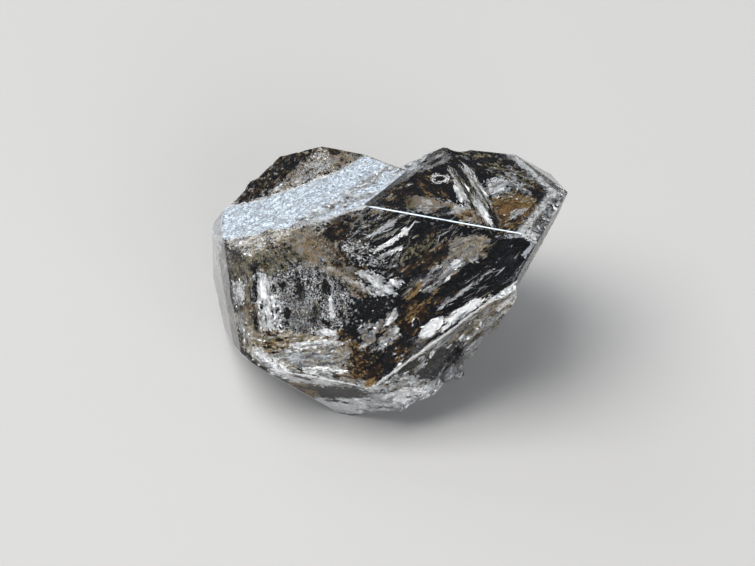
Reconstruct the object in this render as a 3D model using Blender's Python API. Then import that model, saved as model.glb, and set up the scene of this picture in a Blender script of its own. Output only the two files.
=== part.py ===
"""Petroleum quartz: one clear stone of two quartz crystals that grew together, lying on a face of its own.

Every crystal face is a plane with three values: its turn about the long axis of the crystal, counted from
the top and towards the front, its tilt towards the tip, and its distance from the heart of the stone.
A perfect prism face tilts 0 degrees and a perfect rhomb face 38.2 degrees, one every 60 degrees of turn.
The faces here lean a few degrees from that, as the faces of a real crystal do.
Some faces are smooth windows. Others are frosted, stepped by growth ledges or swollen into lumps.
"""

import math

import bmesh
import bpy
from mathutils import Matrix, Vector, noise

MM = 0.001

# Driving dimensions. Lengths are in millimetres and angles in degrees.
NODE_NAME = "quartz_crystal"
AXIS_HEADING = -30.0
AXIS_RISE = 38.2
GROUND_DEPTH = 3.9
BLOCK_SIDE = 40.0
REAR_INSET = 0.03
LOBE_INSET = 0.05
STEP_INSET = 0.07

# Faces as (turn, tilt, distance) from the heart of the stone
FRONT = (61.5, 35.0, 5.0)
TOP = (-1.0, 38.5, 6.15)
RIM_BACK = (-18.6, 42.7, 7.56)
RIM_SIDE = (-1.2, 52.5, 7.66)
SHOULDER = (-4.5, 13.5, 5.65)
CORNER = (24.5, 18.0, 6.6)
LEFT_PRISM = (55.5, -2.0, 7.6)
LEFT_SIDE = (55.5, -32.5, 8.2)
LEFT_BACK = (56.3, -38.0, 8.25)
LEFT_NOSE = (20.9, -22.4, 8.8)
LEFT_REAR = (20.0, -44.0, 9.49)
LOWER_LEFT = (118.0, -34.5, 6.7)
LOWER_FRONT = (115.0, -0.5, 6.74)
LOWER_RIGHT = (123.0, 38.0, 6.35)
RIGHT_SIDE = (-173.5, 33.0, 5.55)
UNDER_RIGHT = (179.5, -2.5, 3.85)
TOP_RIGHT = (-59.5, 37.0, 8.9)
TOP_BACK = (-59.0, -1.5, 5.8)
NOTCH_BACK = (-28.5, -20.0, 4.12)
RIGHT_END = (-120.0, 38.0, 8.9)
UNDER_BACK = (-120.0, -38.0, 5.7)
UNDER_END = (-120.0, 0.0, 6.3)

REAR_SHOULDER = (-5.5, 11.0, 5.65)
REAR_RIGHT = (-61.0, 26.0, 5.2)
REAR_BACK = (-64.0, -13.0, 5.65)
REAR_LEFT = (-12.5, -28.5, 8.55)

LOBE_LEFT = (27.5, 20.0, 4.35)
LOBE_FRONT = (53.5, 40.0, 0.8)
LOBE_RIGHT = (36.5, 59.5, 0.98)

BACK_STEP_TOP = (0.0, 38.2, 1.2)
BACK_STEP_BACK = (-62.0, -18.0, 6.7)

# Rough faces as (face, cell, height): cut into cells, whose corners move in and out by up to the height
ROUGH_FACES = (
    (SHOULDER, 0.24, 0.085),
    (REAR_SHOULDER, 0.26, 0.055),
    (RIM_BACK, 0.24, 0.05),
    (RIM_SIDE, 0.24, 0.05),
    (LOWER_RIGHT, 0.3, 0.05),
    (RIGHT_SIDE, 0.42, 0.05),
    (UNDER_RIGHT, 0.36, 0.07),
    (REAR_LEFT, 0.36, 0.05),
    (NOTCH_BACK, 0.34, 0.07),
    (TOP_BACK, 0.55, 0.02),
    (REAR_BACK, 0.55, 0.02),
    (UNDER_BACK, 0.8, 0.05),
)
GRAIN_PITCH = 0.55
PIT_PITCH = 1.3
PIT_SHARE = 0.4
PIT_DEPTH = 1.3
CORNER_SHARE = 0.35

# Growth ledges as (face, way across, first edge, pitch, count, height), with edges a little unevenly apart
RIDGE_WAY = Vector((0.58, 0.23, 0.78))
LEDGES = (
    (LOWER_RIGHT, "ridge", -1.9, 0.62, 4, 0.11),
    (TOP_BACK, "axis", -2.2, 1.05, 8, 0.07),
    (REAR_BACK, "axis", -7.4, 0.95, 8, 0.06),
)
LEDGE_FOOT = 0.08
LEDGE_SWAY = 0.3
LEDGE_BEAT = 2.4

# Swellings as (centre, direction, reach, height); a hollow has a height below zero
SWELLINGS = (
    (Vector((5.75, -4.6, 3.5)), Vector((0.86, -0.39, -0.3)), 1.15, 0.5),
    (Vector((5.15, -4.85, 2.25)), Vector((0.8, -0.45, -0.4)), 1.3, 0.42),
    (Vector((4.05, -5.35, -0.25)), Vector((0.7, -0.6, -0.4)), 0.8, -0.42),
    (Vector((3.2, -5.65, -0.75)), Vector((0.75, -0.3, -0.6)), 0.8, 0.4),
    (Vector((1.9, -6.1, -1.35)), Vector((0.5, -0.4, -0.75)), 1.25, 0.4),
    (Vector((0.4, -6.6, -2.1)), Vector((0.3, -0.5, -0.8)), 1.3, 0.3),
    (Vector((-7.05, 4.35, 2.75)), Vector((-0.7, 0.5, 0.5)), 0.5, 0.24),
)

# Shell-shaped chips as (place on an edge, way out, radius of the ball, depth)
CHIPS = (
    (Vector((-6.6, -3.6, 1.8)), Vector((-0.55, -0.72, 0.62)), 1.7, 0.08),
    (Vector((-6.3, -5.5, -0.3)), Vector((-0.55, -0.8, -0.1)), 1.5, 0.15),
    (Vector((-7.75, -2.4, 1.4)), Vector((-0.95, -0.3, 0.15)), 1.7, 0.09),
    (Vector((3.3, 3.2, 6.1)), Vector((0.2, 0.75, 0.6)), 1.1, 0.12),
    (Vector((7.35, -3.1, 6.0)), Vector((0.4, -0.5, 0.75)), 1.2, 0.16),
    (Vector((-0.95, -7.0, -0.45)), Vector((-0.1, -0.95, 0.2)), 1.2, 0.1),
    (Vector((2.1, 6.5, 0.6)), Vector((0.2, 0.8, 0.5)), 1.6, 0.2),
    (Vector((-4.9, -2.6, -3.9)), Vector((-0.5, -0.5, -0.7)), 1.6, 0.16),
    (Vector((-8.3, 0.9, 3.1)), Vector((-0.8, 0.1, 0.6)), 1.2, 0.12),
)
CHIP_ROUNDNESS = 3
SHARP_ANGLE = 13.0

# How near points and faces count as the same
MERGE_DISTANCE = 0.002
FLAT_ANGLE = 0.2
SNAP_DISTANCE = 0.03
SAME_PLANE_DISTANCE = 0.1
SAME_WAY = 0.9998


def crystal_axes():
    """The long axis, the level top's direction and the side that turns lead to, as unit vectors."""
    heading = math.radians(AXIS_HEADING)
    rise = math.radians(AXIS_RISE)
    flat = Vector((math.cos(heading), math.sin(heading), 0))
    up = Vector((0, 0, 1))
    long_axis = flat * math.cos(rise) + up * math.sin(rise)
    top = up * math.cos(rise) - flat * math.sin(rise)
    return long_axis, top, long_axis.cross(top)


def face_plane(face):
    """The outward normal of a face and its distance from the heart of the stone."""
    turn, tilt, distance = face
    long_axis, top, side = crystal_axes()
    turn = math.radians(turn)
    tilt = math.radians(tilt)
    around = top * math.cos(turn) + side * math.sin(turn)
    return around * math.cos(tilt) + long_axis * math.sin(tilt), distance


def cut_away(shape, normal, distance):
    """Cuts off what lies beyond a plane and closes the cut."""
    everything = shape.verts[:] + shape.edges[:] + shape.faces[:]
    cut = bmesh.ops.bisect_plane(
        shape, geom=everything, plane_co=normal * distance, plane_no=normal, clear_outer=True
    )
    rim = [part for part in cut["geom_cut"] if isinstance(part, bmesh.types.BMEdge)]
    if rim:
        bmesh.ops.edgeloop_fill(shape, edges=rim)


def new_object(name, shape, collection):
    """The finished shape as an object in a collection."""
    bmesh.ops.recalc_face_normals(shape, faces=shape.faces)
    mesh = bpy.data.meshes.new(name)
    shape.to_mesh(mesh)
    shape.free()
    made = bpy.data.objects.new(name, mesh)
    collection.objects.link(made)
    return made


def cut_crystal(name, faces, inset, collection):
    """A block of rough, cut down to its crystal faces and to the ground."""
    shape = bmesh.new()
    bmesh.ops.create_cube(shape, size=BLOCK_SIDE)
    for face in faces:
        normal, distance = face_plane(face)
        cut_away(shape, normal, distance - inset)
    cut_away(shape, Vector((0, 0, -1)), GROUND_DEPTH - inset)
    return new_object(name, shape, collection)


def chip_ball(name, place, way_out, radius, depth, collection):
    """The ball that scoops a chip out of an edge."""
    shape = bmesh.new()
    centre = place + way_out.normalized() * (radius - depth)
    bmesh.ops.create_icosphere(
        shape, subdivisions=CHIP_ROUNDNESS, radius=radius, matrix=Matrix.Translation(centre)
    )
    return new_object(name, shape, collection)


def add_boolean(stone, helper, operation):
    """Joins a helper to the stone or cuts it out, and keeps the helper out of sight."""
    helper.hide_render = True
    helper.display_type = "WIRE"
    modifier = stone.modifiers.new(helper.name, "BOOLEAN")
    modifier.operation = operation
    modifier.solver = "EXACT"
    modifier.object = helper


def made_real(stone):
    """The stone with its modifiers applied, as an open shape to work on."""
    graph = bpy.context.evaluated_depsgraph_get()
    mesh = bpy.data.meshes.new_from_object(stone.evaluated_get(graph))
    stone.modifiers.clear()
    shape = bmesh.new()
    shape.from_mesh(mesh)
    bpy.data.meshes.remove(mesh)
    bmesh.ops.remove_doubles(shape, verts=shape.verts, dist=MERGE_DISTANCE)
    bmesh.ops.dissolve_limit(
        shape, angle_limit=math.radians(FLAT_ANGLE), verts=shape.verts, edges=shape.edges
    )
    return shape


def lies_on(face, normal, distance):
    """Whether a mesh face is a stretch of the crystal face with this plane."""
    off_plane = face.calc_center_median().dot(normal) - distance
    return face.normal.dot(normal) > SAME_WAY and abs(off_plane) < SAME_PLANE_DISTANCE


def number_faces(shape):
    """Writes on each mesh face the number of its rough crystal face, or 0 on a smooth one."""
    layer = shape.faces.layers.int.new("rough_face")
    for number, (crystal_face, _cell, _height) in enumerate(ROUGH_FACES, start=1):
        normal, distance = face_plane(crystal_face)
        for face in shape.faces:
            if lies_on(face, normal, distance):
                face[layer] = number
    return layer


def cut_across(shape, layer, number, across, place):
    """Cuts one numbered crystal face along a line, and leaves its neighbours whole."""
    faces = [face for face in shape.faces if face[layer] == number]
    edges = {edge for face in faces for edge in face.edges}
    verts = {vert for face in faces for vert in face.verts}
    near = list(verts) + list(edges) + faces
    bmesh.ops.bisect_plane(
        shape, geom=near, dist=SNAP_DISTANCE, plane_co=across * place, plane_no=across
    )


def span(shape, layer, number, across):
    """How far a numbered crystal face reaches along a direction."""
    places = [
        vert.co.dot(across) for face in shape.faces if face[layer] == number for vert in face.verts
    ]
    return (min(places), max(places)) if places else (0, 0)


def divide_face(shape, layer, number, cell, first_way):
    """Cuts a numbered crystal face into a grid of cells."""
    normal = face_plane(ROUGH_FACES[number - 1][0])[0]
    along = (first_way - normal * first_way.dot(normal)).normalized()
    for across in (along, normal.cross(along)):
        low, high = span(shape, layer, number, across)
        count = max(1, round((high - low) / cell))
        for step in range(1, count):
            cut_across(shape, layer, number, across, low + (high - low) * step / count)


def way_across(kind, normal):
    """The direction that a set of growth ledges climbs in, within its face."""
    long_axis = crystal_axes()[0]
    if kind == "axis":
        return (long_axis - normal * long_axis.dot(normal)).normalized()
    return normal.cross(RIDGE_WAY).normalized()


def ledge_edges(first, pitch, count):
    """Where the edges of a flight of ledges lie, a little unevenly apart."""
    return [first + pitch * (step + LEDGE_SWAY * math.sin(LEDGE_BEAT * step)) for step in range(count)]


def ledge_height(place, edges, height):
    """A flight of low steps: each falls sharply at its edge and climbs slowly to the next."""
    for start, end in zip(edges, edges[1:]):
        if start <= place <= end:
            gone = place - start
            if gone < LEDGE_FOOT:
                return -height * gone / LEDGE_FOOT
            return -height * (end - place) / (end - start - LEDGE_FOOT)
    return 0.0


def face_numbers(shape, layer):
    """For each vertex, the numbers of its rough faces and the normals of its smooth ones."""
    found = {}
    for vert in shape.verts:
        rough = {face[layer] for face in vert.link_faces if face[layer]}
        smooth = [face.normal.copy() for face in vert.link_faces if not face[layer]]
        found[vert] = (rough, smooth)
    return found


def push(vert, step, smooth):
    """Moves a vertex, but only along the smooth faces that it lies on."""
    if any(normal.dot(smooth[0]) < SAME_WAY for normal in smooth):
        return
    if smooth:
        step = step - smooth[0] * step.dot(smooth[0])
    vert.co += step


def grain(point):
    """The uneven surface of a frosted face, between -1 and 1, with pits."""
    waves = noise.fractal(point / GRAIN_PITCH, 1.0, 2.0, 3)
    nearest = noise.voronoi(point / PIT_PITCH)[0][0]
    pit = max(0.0, 1 - (nearest / PIT_SHARE) ** 2)
    return waves - PIT_DEPTH * pit


def roughen(shape, layer):
    """Frosts the rough faces, cuts their growth ledges and raises the lumps along the edges."""
    numbers = face_numbers(shape, layer)
    ledges = {flight[0]: flight[1:] for flight in LEDGES}
    steps = {}
    for vert, (rough, smooth) in numbers.items():
        step = Vector()
        for number in rough:
            crystal_face, _cell, height = ROUGH_FACES[number - 1]
            normal = face_plane(crystal_face)[0]
            share = 1.0 if len(rough) == 1 and not smooth else CORNER_SHARE
            step += normal * grain(vert.co) * height * share
            if crystal_face in ledges and len(rough) == 1:
                kind, first, pitch, count, rise = ledges[crystal_face]
                place = vert.co.dot(way_across(kind, normal))
                step += normal * ledge_height(place, ledge_edges(first, pitch, count), rise)
        for centre, direction, reach, height in SWELLINGS:
            near = 1 - (vert.co - centre).length_squared / reach**2
            if rough and near > 0:
                step += direction.normalized() * height * near**2
        steps[vert] = step
    for vert, step in steps.items():
        push(vert, step, numbers[vert][1])


def stand_on_origin(shape):
    """Turns the shape to metres, with the origin at the middle of its box, on the ground."""
    bmesh.ops.scale(shape, vec=(MM, MM, MM), verts=shape.verts)
    lowest = Vector(min(vert.co[axis] for vert in shape.verts) for axis in range(3))
    highest = Vector(max(vert.co[axis] for vert in shape.verts) for axis in range(3))
    middle = (lowest + highest) / 2
    bmesh.ops.translate(shape, vec=(-middle.x, -middle.y, -lowest.z), verts=shape.verts)


def quartz_material():
    """Clear, faintly smoky quartz."""
    material = bpy.data.materials.new("clear_quartz")
    material.use_nodes = True
    surface = material.node_tree.nodes["Principled BSDF"]
    surface.inputs["Base Color"].default_value = (0.84, 0.83, 0.8, 1)
    surface.inputs["Roughness"].default_value = 0.12
    surface.inputs["Metallic"].default_value = 0.0
    surface.inputs["IOR"].default_value = 1.544
    surface.inputs["Transmission Weight"].default_value = 0.6
    return material


def clear_scene():
    for old in list(bpy.data.objects):
        bpy.data.objects.remove(old, do_unlink=True)


def new_collection(name):
    made = bpy.data.collections.new(name)
    bpy.context.scene.collection.children.link(made)
    return made


def grow_stone(stone_parts, cutters):
    """The main crystal with the rear one, its lobe and its back step joined on, and the chips cut out."""
    sides = (LEFT_PRISM, LEFT_SIDE, LEFT_BACK, LOWER_LEFT, LOWER_FRONT, LOWER_RIGHT, RIGHT_SIDE)
    ends = (UNDER_RIGHT, RIGHT_END, UNDER_BACK, UNDER_END, REAR_LEFT, LEFT_NOSE, LEFT_REAR)
    common = (FRONT, TOP) + sides + ends
    main_faces = common + (SHOULDER, CORNER, TOP_RIGHT, TOP_BACK, NOTCH_BACK, RIM_BACK, RIM_SIDE)
    rear_faces = common + (REAR_SHOULDER, CORNER, REAR_RIGHT, REAR_BACK)
    lobe_faces = common + (LOBE_LEFT, LOBE_FRONT, LOBE_RIGHT, REAR_RIGHT, REAR_BACK)
    step_faces = common + (BACK_STEP_TOP, BACK_STEP_BACK, REAR_RIGHT)
    stone = cut_crystal(NODE_NAME, main_faces, 0.0, stone_parts)
    add_boolean(stone, cut_crystal("rear_crystal", rear_faces, REAR_INSET, cutters), "UNION")
    add_boolean(stone, cut_crystal("rear_lobe", lobe_faces, LOBE_INSET, cutters), "UNION")
    add_boolean(stone, cut_crystal("back_step", step_faces, STEP_INSET, cutters), "UNION")
    for number, chip in enumerate(CHIPS, start=1):
        add_boolean(stone, chip_ball(f"chip_{number}", *chip, cutters), "DIFFERENCE")
    return stone


def finish_surface(stone):
    """Cuts the rough faces into cells and gives them their frost, ledges and lumps."""
    shape = made_real(stone)
    layer = number_faces(shape)
    rough = [crystal_face for crystal_face, _cell, _height in ROUGH_FACES]
    for crystal_face, kind, first, pitch, count, _height in LEDGES:
        number = rough.index(crystal_face) + 1
        across = way_across(kind, face_plane(crystal_face)[0])
        for edge in ledge_edges(first, pitch, count):
            cut_across(shape, layer, number, across, edge)
            cut_across(shape, layer, number, across, edge + LEDGE_FOOT)
    for number, (_crystal_face, cell, _height) in enumerate(ROUGH_FACES, start=1):
        divide_face(shape, layer, number, cell, crystal_axes()[0])
    roughen(shape, layer)
    stand_on_origin(shape)
    bmesh.ops.triangulate(shape, faces=shape.faces)
    shape.to_mesh(stone.data)
    shape.free()
    stone.data.shade_smooth()
    stone.data.set_sharp_from_angle(angle=math.radians(SHARP_ANGLE))
    stone.data.materials.append(quartz_material())


def main():
    clear_scene()
    stone_parts = new_collection("petroleum_quartz")
    cutters = new_collection("cutters")
    stone = grow_stone(stone_parts, cutters)
    bpy.context.view_layer.update()
    finish_surface(stone)


if __name__ == "__main__":
    main()
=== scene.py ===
"""Petroleum quartz: a clear crystal with brown petroleum, flat channels, bubbles and cloudy veils inside."""

import math
import random
from collections import namedtuple

import bmesh
import bpy
from bpy.props import FloatProperty, FloatVectorProperty, IntProperty, PointerProperty
from mathutils import Matrix, Vector, noise
from mathutils.bvhtree import BVHTree


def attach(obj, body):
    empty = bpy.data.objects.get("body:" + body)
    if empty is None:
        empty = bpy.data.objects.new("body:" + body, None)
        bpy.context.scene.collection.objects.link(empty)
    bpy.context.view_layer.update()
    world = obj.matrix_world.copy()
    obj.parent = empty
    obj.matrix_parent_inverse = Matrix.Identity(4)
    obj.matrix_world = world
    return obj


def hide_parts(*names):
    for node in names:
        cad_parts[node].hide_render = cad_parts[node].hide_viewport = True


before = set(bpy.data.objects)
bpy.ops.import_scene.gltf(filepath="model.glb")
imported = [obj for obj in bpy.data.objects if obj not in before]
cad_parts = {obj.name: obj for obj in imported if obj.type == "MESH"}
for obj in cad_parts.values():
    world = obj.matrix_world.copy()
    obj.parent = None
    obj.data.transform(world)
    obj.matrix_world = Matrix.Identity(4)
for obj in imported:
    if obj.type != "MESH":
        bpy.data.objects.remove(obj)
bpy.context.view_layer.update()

bl_info = {
    "name": "Petroleum Quartz",
    "version": (1, 0, 0),
    "blender": (4, 5, 0),
    "location": "View3D > Sidebar > Quartz",
    "description": "Builds a clear quartz crystal with petroleum, channels, bubbles and veils sealed inside",
    "category": "Add Mesh",
}

MM = 0.001
NODE = "quartz_crystal"
BODY = "root"
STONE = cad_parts[NODE]

# The photograph: its size in pixels, how high the camera stands and how far it is from the stone's heart
PHOTO_WIDTH = 755
PHOTO_HEIGHT = 566
CAMERA_RISE = math.radians(44.0)
CAMERA_DISTANCE = 200 * MM
CAMERA_ASIDE = -0.625 * MM
PIXEL = 0.05 * MM
SENSOR = 36.0
NEAREST_SEEN = 0.005
FARTHEST_SEEN = 20

# The stage: the floor's width, each lamp's place, size and colour, and the air
FLOOR_SIZE = 1.6
LAMPS = {
    "key": ((-0.2, -0.02, 0.48), 0.45, (1, 0.99, 0.97)),
    "fill": ((0.2, -0.45, 0.16), 0.4, (0.95, 0.97, 1)),
    "rim": ((-0.3, 0.38, 0.28), 0.35, (0.9, 0.95, 1)),
}
AIR_COLOR = (0.85, 0.9, 1.0)
LIGHT_BOUNCES = 24

# The heart of the stone, from which the crystal faces are measured, and the crystal's long axis
HEART = Vector((0.193, 0.043, 3.9)) * MM
AXIS_HEADING = math.radians(-30.0)
AXIS_RISE = math.radians(38.2)
QUARTZ_IOR = 1.544

# The skin: how often its edges are halved, how high its flat foot reaches, and which edges are worn
REFINE_PASSES = 6
BASE_MARGIN = 0.05 * MM
WORN_LENGTH = 0.6 * MM
WORN_ANGLE = math.radians(10)
# The colour that frost is painted towards in its pits: painted shade
FROST_SHADOW = (0.06, 0.07, 0.08)

# Slanting ways along which the test for being inside looks for the skin
PROBES = (Vector((0.1, 0.05, 1)), Vector((-0.05, 0.1, -1)), Vector((0.1, -1, 0.15)))

# Flakes: the room that they keep to the skin, and the length and width of their clumps in pixels
FLAKE_ROOM = 0.01 * MM
CLUMP_LENGTH = 7
CLUMP_WIDTH = 4.5

# Bubble rims, painted reflections: how many flakes, and a flake's half length, half width and half thickness
RIM_FLAKES = 150
RIM_FLAKE = (0.05 * MM, 0.016 * MM, 0.008 * MM)

# Pools and layers: their room to the skin, corners, seeds, and shares of width and thickness down a lens
POOL_ROOM = 0.05 * MM
POOL_SIDES = 36
LAYER_SIDES = 40
POOL_SEED = 11
LAYER_SEED = 5
LENS_PROFILE = ((0.3, 0.5), (0.65, 0.42), (0.88, 0.25), (1.0, 0.0), (0.88, -0.25), (0.65, -0.42), (0.3, -0.5))

# Drops of petroleum: how many, their rings and corners, and their tones
DROPS = 30
DROP_LEVELS = 8
DROP_SIDES = 12
DROP_TONES = ("soot", "brown", "gold")

# Channels: the width and height of their rings, and the six corners of each as along and aside
CHANNEL_PROFILE = ((0.7, 0.5), (1.0, 0.0), (0.7, -0.5))
CHANNEL_CORNERS = ((0.0, 0.0), (0.12, 1.0), (0.85, 0.8), (1.0, 0.0), (0.9, -0.8), (0.08, -1.0))

# Healed fractures: how many cross the stone, the flakes in each, and the reach and flakes under a far face
FRACTURES = 10
FRACTURE_FLAKES = 1500
FAR_REACH = 3.6
FAR_FLAKES = 3200

# Crystal faces: turn and tilt in degrees, distance from the heart and depth of pits in millimetres
Face = namedtuple("Face", "turn tilt distance frost pits warmth", defaults=(0.0, 0.0, 0.3))
FACES = {
    "front": Face(61.5, 35.0, 5.0),
    "top": Face(-1.0, 38.5, 6.15),
    "rim_back": Face(-18.6, 42.7, 7.56, 0.56, 0.04, 0.5),
    "rim_side": Face(-1.2, 52.5, 7.66, 0.58, 0.05, 0.4),
    "shoulder": Face(-4.5, 13.5, 5.65, 0.66, 0.09, 0.1),
    "corner": Face(24.5, 18.0, 6.6, 0.3, 0.0, 0.5),
    "left_prism": Face(55.5, -2.0, 7.6),
    "left_side": Face(55.5, -32.5, 8.2, 0.1, 0.0, 0.2),
    "left_back": Face(56.3, -38.0, 8.25, 0.12, 0.0, 0.0),
    "left_nose": Face(20.9, -22.4, 8.8, 0.7, 0.02, 0.3),
    "left_rear": Face(20.0, -44.0, 9.49, 0.35, 0.02, 0.2),
    "lower_left": Face(118.0, -34.5, 6.7),
    "lower_front": Face(115.0, -0.5, 6.74, 0.12, 0.0, 0.1),
    "lower_right": Face(123.0, 38.0, 6.35, 0.2, 0.04, 0.9),
    "right_side": Face(-173.5, 33.0, 5.55, 0.5, 0.05, 0.9),
    "under_right": Face(179.5, -2.5, 3.85, 0.5, 0.06, 0.6),
    "top_right": Face(-59.5, 37.0, 8.9),
    "top_back": Face(-59.0, -1.5, 5.8, 0.3, 0.02, 0.5),
    "notch_back": Face(-28.5, -20.0, 4.12, 0.7, 0.06, 0.1),
    "right_end": Face(-120.0, 38.0, 8.9),
    "under_back": Face(-120.0, -38.0, 5.7, 0.3, 0.02, 0.7),
    "under_end": Face(-120.0, 0.0, 6.3),
    "rear_shoulder": Face(-5.5, 11.0, 5.65, 0.95, 0.06, 0.0),
    "rear_right": Face(-61.0, 26.0, 5.2),
    "rear_back": Face(-64.0, -13.0, 5.65, 0.2, 0.0, 0.5),
    "rear_left": Face(-12.5, -28.5, 8.55, 0.5, 0.05, 0.3),
    "lobe_left": Face(27.5, 20.0, 4.35, 0.08, 0.0, 0.6),
    "lobe_front": Face(53.5, 40.0, 0.8, 0.3, 0.0, 0.7),
    "lobe_right": Face(36.5, 59.5, 0.98, 0.34, 0.0, 0.5),
    "step_top": Face(0.0, 38.2, 1.2, 0.4, 0.03, 0.3),
    "step_back": Face(-62.0, -18.0, 6.7, 0.4, 0.03, 0.3),
}
WORN = Face(0.0, 0.0, 0.0, 1.4, 0.0, 0.1)

# Groups of faces with no worn edges between them
PLAIN_BORDERS = (
    {"front", "left_prism", "left_side"},
    {"front", "corner"},
    {"corner", "left_prism"},
    {"front", "lower_front"},
    {"lobe_left", "lobe_front", "lobe_right"},
)
# The one edge that is worn to a bright line, and how wide the wear is on all others beside it
BRIGHT_BORDER = {"front", "top"}
SLIGHT_WEAR = 0.65

# Borders where frost creeps onto a face: the face, its neighbour, how far in millimetres and how strong
CREEPS = (
    ("top", "rim_back", 0.7, 0.62),
    ("top", "rim_side", 0.7, 0.66),
    ("front", "rim_side", 0.3, 0.5),
    ("front", "lower_right", 0.16, 0.85),
    ("front", "lower_front", 0.14, 0.7),
    ("front", "rear_shoulder", 0.3, 0.6),
)

# Tones from black, for petroleum and for painted shade, to white: a place from 0 to 1 and a colour
TONES = {
    "black": (0.0, (0.003, 0.003, 0.003)),
    # slate is painted shade: the dark bluish grey that the clear quartz shows where it lies dark
    "slate": (0.04, (0.022, 0.026, 0.034)),
    "soot": (0.08, (0.02, 0.013, 0.008)),
    "brown": (0.16, (0.085, 0.043, 0.016)),
    "gold": (0.28, (0.4, 0.26, 0.1)),
    "olive": (0.38, (0.22, 0.215, 0.13)),
    "beige": (0.5, (0.5, 0.4, 0.28)),
    "grey": (0.62, (0.27, 0.29, 0.33)),
    "cream": (0.71, (0.66, 0.57, 0.4)),
    "pale": (0.8, (0.62, 0.66, 0.7)),
    "white": (1.0, (1.0, 1.0, 1.0)),
}

# Palettes: tones in the order in which they blend, each with its weight
BRIGHT = "grey 0.6, pale 1.4, white 5"
DULL = "soot 0.4, grey 1.5, pale 2"
# DARK also paints the shadows beside bright cracks
DARK = "black 3, soot 1"
EMBER = "black 0.8, brown 1.4, gold 3, brown 0.6"
HEALED = "soot 0.8, brown 1, gold 1.2, olive 0.6, beige 2, cream 2, pale 3, white 2.4"

# Veils of flakes: outlines in pixels of the photograph, depths and sizes in millimetres, headings in degrees
Veil = namedtuple("Veil", "face outline depths count sizes stretch heading tones soft", defaults=(2.2,))


def streak(face, outline, heading, tones, count=260, depth=0.1):
    """A dense thin veil: a bright crack, or a dark sliver; dark ones laid beside bright cracks are painted
    shadows.
    """
    depths = (0.5 * depth, depth)
    sizes = (0.03, 0.08)
    return Veil(face, outline, depths, count, sizes, stretch=4.0, heading=heading, tones=tones, soft=0.9)


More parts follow.
